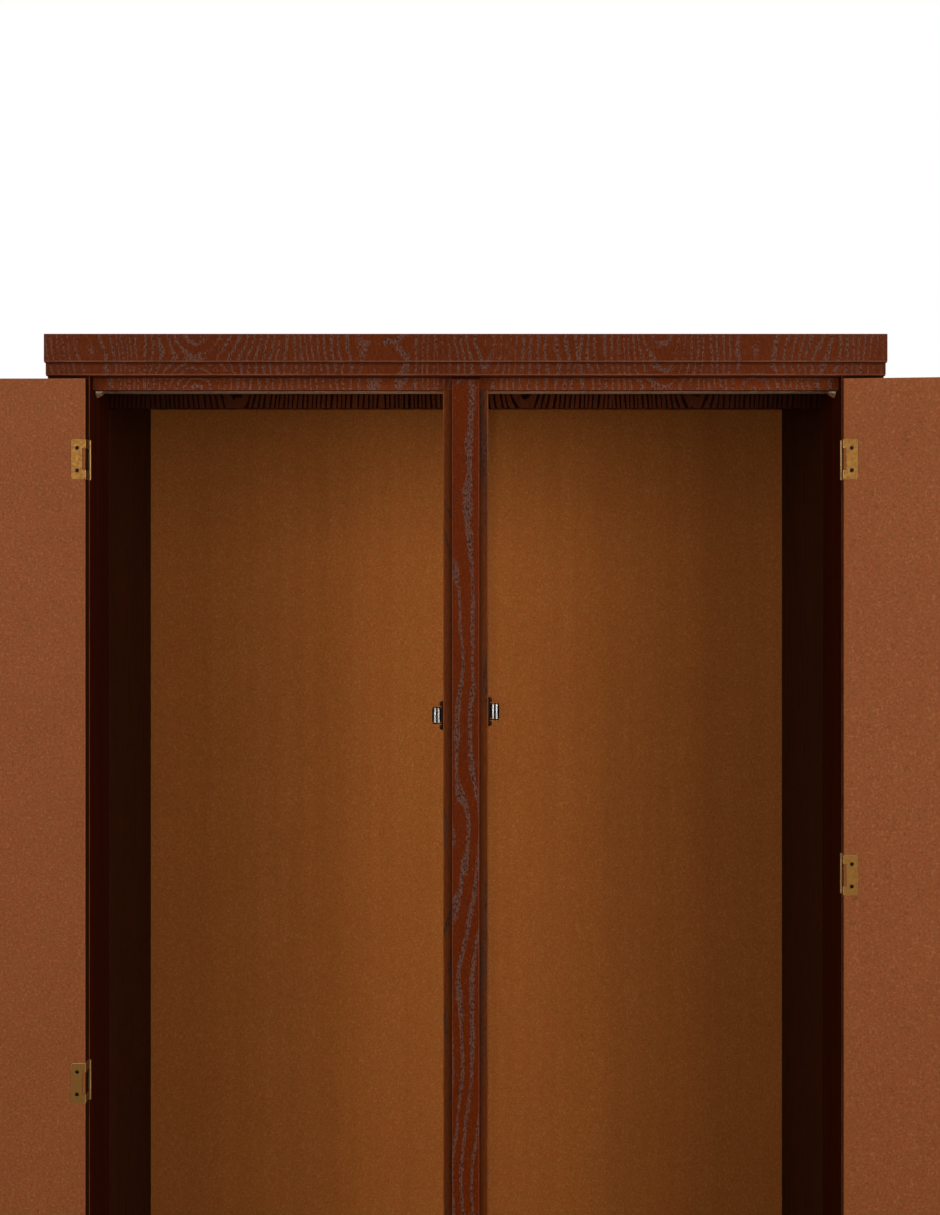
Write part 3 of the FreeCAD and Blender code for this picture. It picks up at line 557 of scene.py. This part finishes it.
# The doors: an oak-veneered board in front and a sheet of hardboard glued to its back. The veneer
# runs upright, two leaves to a door, opened like the pages of a book. The doors' edges are darkened
# near black, partly a dark stain and partly painted shade.
door_oak = oak("door_oak", red_wood, red_wood_dark, violet_filler, dark_pit, bare_stain_and_highlight, 0.75,
               ring=0.014, leaf=0.235, slope=0.06, edge_stain_and_shade=0.85)
door_sheet = hardboard("door_hardboard", (0.250, 0.0700, 0.0190), (0.41, 0.150, 0.055),
                       (0.135, 0.0320, 0.0068), 0.0, edge_stain_and_shade=0.85)
for side in ("left", "right"):
    finish(f"{side}_door_board", door_oak)
    finish(f"{side}_door_back", door_sheet)


# The knobs: oak turned to a mushroom shape, stained darker than the doors and polished by hands.
knob_wood = stained_timber("knob_wood", (0.110, 0.0230, 0.0060), (0.060, 0.0110, 0.0028),
                           (0.110, 0.0230, 0.0060), 3.3, 0.28, wear_and_highlight=0.0, gloss=0.4)
for side in ("left", "right"):
    finish(f"{side}_knob", knob_wood)


# The strikes: plated steel spears on plates, one for each catch, screwed to the door's back.
strike_steel = metal("strike_steel", (0.42, 0.37, 0.29), (0.26, 0.21, 0.15), (0.60, 0.55, 0.46), 0.32)
for side in ("left", "right"):
    finish(f"{side}_catch_strikes", strike_steel)


# The screws: blackened steel with a single slot, driven by hand, so that no two slots lie alike.
# Countersunk in the hinges, sockets and strikes, round-headed in the catches, cheese-headed at the knobs.
screw_steel = metal("screw_steel", (0.020, 0.013, 0.010), (0.010, 0.007, 0.005), (0.07, 0.055, 0.045), 0.45)
screw_sides = 24
slot_width_share = 0.26
slot_depth_share = 0.22
slot_turn_step = 2.4
head_rim_share = 0.1
flat_top_share = 0.94
dome_top_share = 0.55
knob_screw_least_radius = 0.0035
countersunk_shares = [(1.0, -0.03), (0.5, -0.46), (0.5, -3.6), (0.16, -4.6)]
cheese_shares = [(1.0, -0.06), (1.0, -0.4), (0.5, -0.4), (0.5, -7.8)]
dome_shares = [(0.78, -0.2), (0.93, -0.44), (1.0, -0.8), (0.92, -0.875), (0.4, -0.875), (0.4, -3.9),
               (0.12, -4.6)]


def solids_of(node_name):
    """The separate solids of a carried-over part, each as a list of its corners."""
    shape = bmesh.new()
    shape.from_mesh(frame["nodes"][node_name].data)
    bmesh.ops.remove_doubles(shape, verts=shape.verts, dist=0.00001)
    waiting = set(shape.verts)
    solids = []
    for first in shape.verts:
        if first not in waiting:
            continue
        waiting.remove(first)
        corners = [first]
        for corner in corners:
            near = [edge.other_vert(corner) for edge in corner.link_edges]
            fresh = [other for other in near if other in waiting]
            waiting.difference_update(fresh)
            corners += fresh
        solids.append([corner.co.copy() for corner in corners])
    shape.free()
    return solids


def add_screw(target, place, facing, radius, turn, shares):
    """One slotted screw in a mesh, its head's top at a place, with rings (radius, height) below it."""
    shape = bmesh.new()
    top = shares[0][0] * radius * (dome_top_share if shares is dome_shares else flat_top_share)
    bmesh.ops.create_circle(shape, cap_ends=True, segments=screw_sides, radius=top)
    bmesh.ops.inset_region(shape, faces=shape.faces[:], thickness=head_rim_share * top,
                           use_even_offset=True)
    for half in (-slot_width_share * radius / 2, slot_width_share * radius / 2):
        inner = [face for face in shape.faces if len(face.verts) > 5]
        cut = inner + list({edge for face in inner for edge in face.edges})
        bmesh.ops.bisect_plane(shape, geom=cut, plane_co=(0, half, 0), plane_no=(0, 1, 0))
    slot_face = min(shape.faces, key=lambda face: face.calc_center_median().length)
    sunk = bmesh.ops.extrude_discrete_faces(shape, faces=[slot_face])["faces"][0]
    bmesh.ops.translate(shape, verts=sunk.verts[:], vec=(0, 0, -slot_depth_share * radius))
    rim = [edge for edge in shape.edges if edge.is_boundary]
    for ring_share, height_share in shares:
        made = bmesh.ops.extrude_edge_only(shape, edges=rim)["geom"]
        for corner in (item for item in made if isinstance(item, bmesh.types.BMVert)):
            outward = Vector((corner.co.x, corner.co.y, 0)).normalized()
            corner.co = outward * ring_share * radius + Vector((0, 0, height_share * radius))
        rim = [item for item in made if isinstance(item, bmesh.types.BMEdge) and item.is_boundary]
    bmesh.ops.edgeloop_fill(shape, edges=rim)
    bmesh.ops.recalc_face_normals(shape, faces=shape.faces[:])
    stand = facing.to_track_quat("Z", "Y").to_matrix().to_4x4()
    bmesh.ops.transform(shape, verts=shape.verts[:],
                        matrix=Matrix.Translation(place) @ stand @ Matrix.Rotation(turn, 4, "Z"))
    made_mesh = bpy.data.meshes.new("one_screw")
    shape.to_mesh(made_mesh)
    target.from_mesh(made_mesh)
    bpy.data.meshes.remove(made_mesh)
    shape.free()


def replace_screws(name, node_name, body, facing_at, shares):
    """Slotted screws in place of a group of plain ones, each where the plain one stands."""
    shape = bmesh.new()
    for index, corners in enumerate(solids_of(node_name)):
        middle = sum(corners, Vector()) / len(corners)
        facing = facing_at(middle)
        reach = max(corner.dot(facing) for corner in corners)
        place = middle + facing * (reach - middle.dot(facing))
        radius = max((corner - place - facing * (corner - place).dot(facing)).length for corner in corners)
        kind = cheese_shares if "door" in node_name and radius > knob_screw_least_radius else shares
        add_screw(shape, place, facing, radius, index * slot_turn_step, kind)
    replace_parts(new_piece(name, shape, screw_steel, body), node_name)


replace_screws("hinge_frame_screws", "frame_leaf_screws", "carcass", lambda at: Vector((0, -1, 0)),
               countersunk_shares)
replace_screws("round_head_catch_screws", "catch_screws", "carcass",
               lambda at: Vector((math.copysign(1, at.x), 0, 0)), dome_shares)
replace_screws("slotted_socket_screws", "rod_socket_screws", "carcass",
               lambda at: Vector((-math.copysign(1, at.x), 0, 0)), countersunk_shares)
for side in ("left", "right"):
    swing = next(joint for joint in frame["joints"] if joint["name"] == f"{side}_door_swing")
    opened = Matrix.Rotation(-math.radians(swing["range_deg"][1]), 3, Vector(swing["axis"]))
    inward = opened @ Vector((0, 1, 0))
    replace_screws(f"{side}_slotted_door_screws", f"{side}_door_screws", f"{side}_door", lambda at: inward,
                   countersunk_shares)


# The pins that hold the back: small flat heads, driven in a line along all four edges of the sheet.
pin_step = 0.14
pin_inset = 0.010
pin_radius = 0.0021
pin_head_depth = 0.0006
pin_head_lift = 0.0001
back_corners = [corner.co for corner in frame["nodes"]["back_panel"].data.vertices]
lowest = [min(corner[axis] for corner in back_corners) for axis in range(3)]
highest = [max(corner[axis] for corner in back_corners) for axis in range(3)]
shape = bmesh.new()
for axis, other in ((0, 2), (2, 0)):
    count = round((highest[axis] - lowest[axis] - 2 * pin_inset) / pin_step)
    step = (highest[axis] - lowest[axis] - 2 * pin_inset) / count
    for index in range(count + (axis == 0)):
        for edge in (lowest[other] + pin_inset, highest[other] - pin_inset):
            if axis == 2 and index == 0:
                continue
            place = Vector((0, highest[1] + pin_head_lift, 0))
            place[axis] = lowest[axis] + pin_inset + index * step
            place[other] = edge
            stand = Matrix.Translation(place) @ Matrix.Rotation(math.radians(90), 4, "X")
            bmesh.ops.create_cone(shape, cap_ends=True, segments=16, radius1=0.7 * pin_radius,
                                  radius2=pin_radius, depth=pin_head_depth, matrix=stand)
new_piece("back_pins", shape, screw_steel, "carcass")


# The springs of the catches: in each, a dark steel leaf lies on the base strap, bends round behind the
# rollers and comes forward again outside them, and so presses the pair together.
spring_path = [(0.00203, -0.0015), (0.00203, 0.0068), (0.0035, 0.0084), (0.0120, 0.0084), (0.01425, 0.0065),
               (0.01425, 0.0020)]
spring_thickness = 0.0004
spring_half_height = 0.0088
shape = bmesh.new()
for side in ("left", "right"):
    for level in ("lower", "upper"):
        corners = [corner.co for corner in frame["nodes"][f"{side}_{level}_catch"].data.vertices]
        base_x = min((corner.x for corner in corners), key=abs)
        middle_y = (min(corner.y for corner in corners) + max(corner.y for corner in corners)) / 2
        middle_z = (min(corner.z for corner in corners) + max(corner.z for corner in corners)) / 2
        away = math.copysign(1, base_x)
        outside = [Vector(point) for point in spring_path]
        ways = [(second - first).normalized() for first, second in zip(outside, outside[1:])]
        inside = []
        for index, point in enumerate(outside):
            before = ways[max(index - 1, 0)]
            after = ways[min(index, len(ways) - 1)]
            normal = Vector((before.y + after.y, -before.x - after.x))
            inside.append(point + normal * (spring_thickness / (1 + before.dot(after))))
        ring = [shape.verts.new((base_x + away * point.x, middle_y + point.y, middle_z - spring_half_height))
                for point in outside + inside[::-1]]
        for index in range(len(outside) - 1):
            last = len(ring) - 1
            shape.faces.new((ring[index], ring[index + 1], ring[last - index - 1], ring[last - index]))
flat_strips = shape.faces[:]
raised = bmesh.ops.extrude_face_region(shape, geom=flat_strips, use_keep_orig=True)["geom"]
bmesh.ops.translate(shape, verts=[item for item in raised if isinstance(item, bmesh.types.BMVert)],
                    vec=(0, 0, 2 * spring_half_height))
bmesh.ops.recalc_face_normals(shape, faces=shape.faces[:])
spring_steel = metal("spring_steel", (0.030, 0.022, 0.018), (0.016, 0.012, 0.010), (0.08, 0.06, 0.05), 0.35)
new_piece("catch_springs", shape, spring_steel, "carcass")
